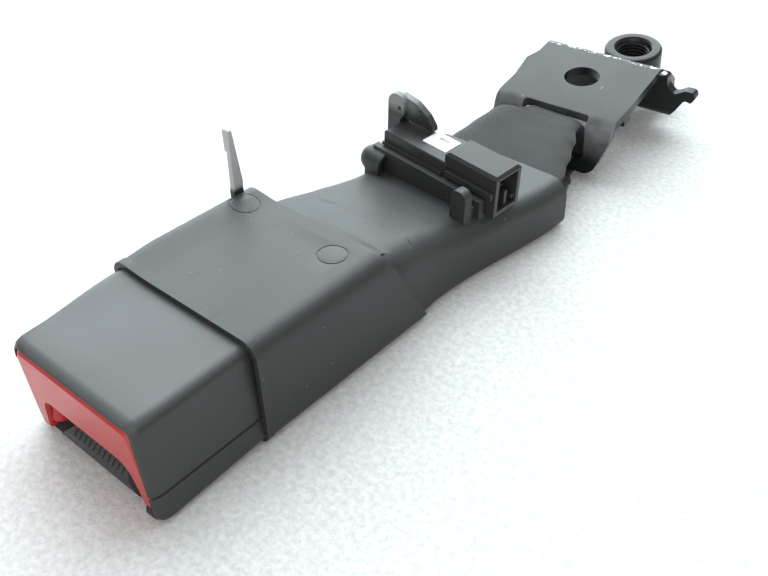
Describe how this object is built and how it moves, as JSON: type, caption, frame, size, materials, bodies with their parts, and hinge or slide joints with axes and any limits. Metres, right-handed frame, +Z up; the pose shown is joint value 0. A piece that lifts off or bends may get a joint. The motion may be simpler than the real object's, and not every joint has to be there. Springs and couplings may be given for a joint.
{
  "type": "seat_belt_buckle_webbing_mounted",
  "caption": "Seat belt buckle with a press button, slim moulded boot, switch connector, webbing and a steel anchor bracket with a bolt hole and a threaded boss.",
  "frame": {"origin": "on the ground under the middle of the whole part's bounding box", "axes": "+Z up; the press button and the tongue's slot face -Y; the anchor bracket is at +Y; the connector opens towards +X"},
  "size_m": [0.0598, 0.238, 0.0492],
  "materials": {
    "black_cover": "fine grained satin",
    "red_button": "satin red",
    "boot_rubber": "smooth satin moulding",
    "connector_plastic": "satin",
    "white_plastic": "satin",
    "bracket_paint": "semi gloss black dip coat",
    "frame_steel": "zinc plated",
    "spring_steel": "bare drawn wire",
    "contact_brass": "tin and brass strip",
    "ejector_plastic": "natural acetal",
    "belt_webbing": "woven polyester",
    "thread": "bonded thread",
    "wire_insulation": "smooth"
  },
  "bodies": {
    "housing": {"upper_cover": "black_cover", "lower_cover": "black_cover", "buckle_frame": "frame_steel", "latch_pivot_pin": "frame_steel", "spring_guide_pin": "frame_steel", "switch_housing": "ejector_plastic", "switch_contacts": "contact_brass", "boot": "boot_rubber", "connector_housing": "connector_plastic", "connector_terminals": "contact_brass", "connector_insert": "white_plastic", "connector_lock": "connector_plastic", "switch_wires": "wire_insulation", "webbing": "belt_webbing", "webbing_stitching": "thread", "button_springs": "spring_steel", "latch_spring": "spring_steel", "ejector_spring": "spring_steel"},
    "button": {"press_button": "red_button"},
    "latch": {"latch_plate": "frame_steel"},
    "lock": {"lock_slider": "frame_steel"},
    "ejector": {"ejector": "ejector_plastic", "switch_wiper": "contact_brass"},
    "bracket": {"anchor_bracket": "bracket_paint", "weld_boss": "bracket_paint"}
  },
  "joints": [
    {"name": "button_press", "type": "slide", "parent": "housing", "child": "button", "axis": [0, -1, 0], "range_m": [-0.005, 0], "stiffness_N_per_m": 800, "springref_m": 0.003, "deforming": ["button_springs"]},
    {"name": "latch_swing", "type": "hinge", "parent": "housing", "child": "latch", "pos_m": [-0.00488, -0.07982, 0.0145], "axis": [1, 0, 0], "range_deg": [0, 11], "stiffness_Nm_per_rad": 0.02, "springref_deg": -8.59, "deforming": ["latch_spring"]},
    {"name": "lock_slide", "type": "slide", "parent": "housing", "child": "lock", "axis": [0, -1, 0], "range_m": [0, 0.0055]},
    {"name": "ejector_slide", "type": "slide", "parent": "housing", "child": "ejector", "axis": [0, 1, 0], "range_m": [0, 0.011], "stiffness_N_per_m": 250, "springref_m": -0.004, "deforming": ["ejector_spring"]},
    {"name": "bracket_swing", "type": "hinge", "parent": "housing", "child": "bracket", "pos_m": [-0.00004, 0.05415, 0.00425], "axis": [0.9962, 0.0872, 0], "range_deg": [-45, 15], "deforming": ["webbing"]}
  ],
  "couplings": [
    {"joint": "lock_slide", "follows": "latch_swing", "m_per_rad": 0.028647}
  ]
}
